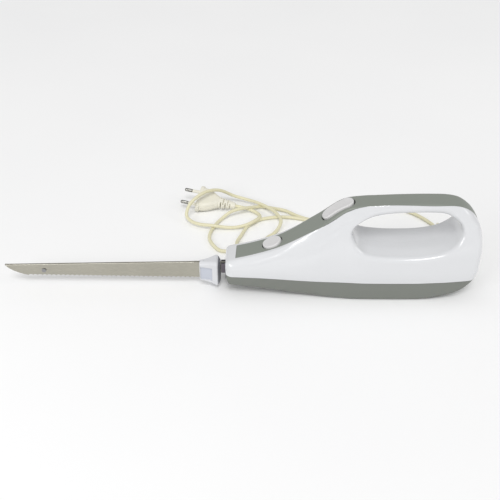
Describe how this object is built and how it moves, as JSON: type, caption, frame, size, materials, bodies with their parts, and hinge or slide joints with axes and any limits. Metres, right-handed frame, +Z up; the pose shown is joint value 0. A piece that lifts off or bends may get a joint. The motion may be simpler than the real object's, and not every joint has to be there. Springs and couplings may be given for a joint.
{
  "type": "electric uncapping knife",
  "caption": "Mains electric knife with twin serrated reciprocating blades, split blade guard, loop handle over a long housing, top buttons, cord and two-pin plug.",
  "frame": {"origin": "centre of the flat underside plane below the middle of the overall length, cord and plug left out", "axes": "+X from the blade tips to the rear of the housing, +Y to the right of a user who points the blades away, +Z up"},
  "size_m": [0.478, 0.1964, 0.1009],
  "materials": {
    "white_shell": "gloss",
    "grey_trim": "satin",
    "grey_tray": "satin",
    "button_plastic": "fine grained",
    "dark_plastic": "matt",
    "blade_steel": "long brushed grain",
    "plain_steel": "machined",
    "lamination_steel": "stacked laminations",
    "copper_winding": "enamelled wire",
    "bearing_bronze": "sintered",
    "carbon": "matt",
    "nylon": "satin",
    "red_plastic": "satin",
    "film_capacitor": "gloss",
    "cord_pvc": "satin",
    "plug_pvc": "satin",
    "pin_metal": "nickel plated"
  },
  "bodies": {
    "housing": {"left_housing": "white_shell", "right_housing": "white_shell", "base_cover": "grey_tray", "top_trim": "grey_trim", "nose_bezel": "dark_plastic", "slider_guide": "nylon", "release_spring": "plain_steel", "stator_core": "lamination_steel", "coil_left": "copper_winding", "coil_right": "copper_winding", "front_bracket": "plain_steel", "rear_bracket": "plain_steel", "front_bearing": "bearing_bronze", "rear_bearing": "bearing_bronze", "brush_left": "carbon", "brush_right": "carbon", "brush_holder_left": "bearing_bronze", "brush_holder_right": "bearing_bronze", "micro_switch": "dark_plastic", "terminal_block": "nylon", "suppression_capacitor": "film_capacitor", "cord_clamp": "nylon", "strain_relief": "cord_pvc", "power_cord": "cord_pvc", "plug_body": "plug_pvc", "plug_pin_near": "pin_metal", "plug_pin_far": "pin_metal", "pin_sleeve_near": "plug_pvc", "pin_sleeve_far": "plug_pvc", "shell_screw_1": "plain_steel", "shell_screw_2": "plain_steel", "shell_screw_3": "plain_steel", "shell_screw_4": "plain_steel", "shell_screw_5": "plain_steel", "tray_screw_1": "plain_steel", "tray_screw_2": "plain_steel", "tray_screw_3": "plain_steel", "tray_screw_4": "plain_steel"},
    "armature": {"motor_shaft": "plain_steel", "worm": "plain_steel", "armature_core": "lamination_steel", "winding_front": "copper_winding", "winding_rear": "copper_winding", "commutator": "copper_winding", "fan": "dark_plastic"},
    "wheel": {"worm_wheel": "nylon", "wheel_axle": "plain_steel"},
    "left_drive": {"left_slider": "dark_plastic"},
    "right_drive": {"right_slider": "dark_plastic"},
    "left_knife": {"left_blade": "blade_steel", "left_guard": "white_shell", "blade_rivet": "plain_steel"},
    "right_knife": {"right_blade": "blade_steel", "right_guard": "white_shell"},
    "switch": {"switch_button": "button_plastic", "switch_plunger": "red_plastic"},
    "release": {"release_button": "button_plastic", "release_yoke": "nylon"}
  },
  "joints": [
    {"name": "armature_spin", "type": "hinge", "parent": "housing", "child": "armature", "pos_m": [0.115, 0, 0.027], "axis": [1, 0, 0], "continuous": true},
    {"name": "wheel_spin", "type": "hinge", "parent": "housing", "child": "wheel", "pos_m": [0.07, 0, 0.0434], "axis": [0, 1, 0], "continuous": true},
    {"name": "left_stroke", "type": "slide", "parent": "housing", "child": "left_drive", "axis": [1, 0, 0], "range_m": [-0.004, 0.004]},
    {"name": "right_stroke", "type": "slide", "parent": "housing", "child": "right_drive", "axis": [1, 0, 0], "range_m": [-0.004, 0.004]},
    {"name": "left_blade_pull", "type": "slide", "parent": "left_drive", "child": "left_knife", "axis": [-1, 0, 0], "range_m": [0, 0.034]},
    {"name": "right_blade_pull", "type": "slide", "parent": "right_drive", "child": "right_knife", "axis": [-1, 0, 0], "range_m": [0, 0.034]},
    {"name": "switch_press", "type": "slide", "parent": "housing", "child": "switch", "axis": [0.5446, 0, -0.8387], "range_m": [0, 0.0025], "stiffness_N_per_m": 500, "springref_m": -0.002},
    {"name": "release_press", "type": "slide", "parent": "housing", "child": "release", "axis": [0.309, 0, -0.9511], "range_m": [0, 0.003], "stiffness_N_per_m": 700, "springref_m": -0.002, "deforming": ["release_spring"]}
  ],
  "couplings": [
    {"joint": "wheel_spin", "follows": "armature_spin", "ratio": 0.035714},
    {"joint": "right_stroke", "follows": "left_stroke", "ratio": -1},
    {"joint": "right_blade_pull", "follows": "left_blade_pull", "ratio": 1}
  ]
}
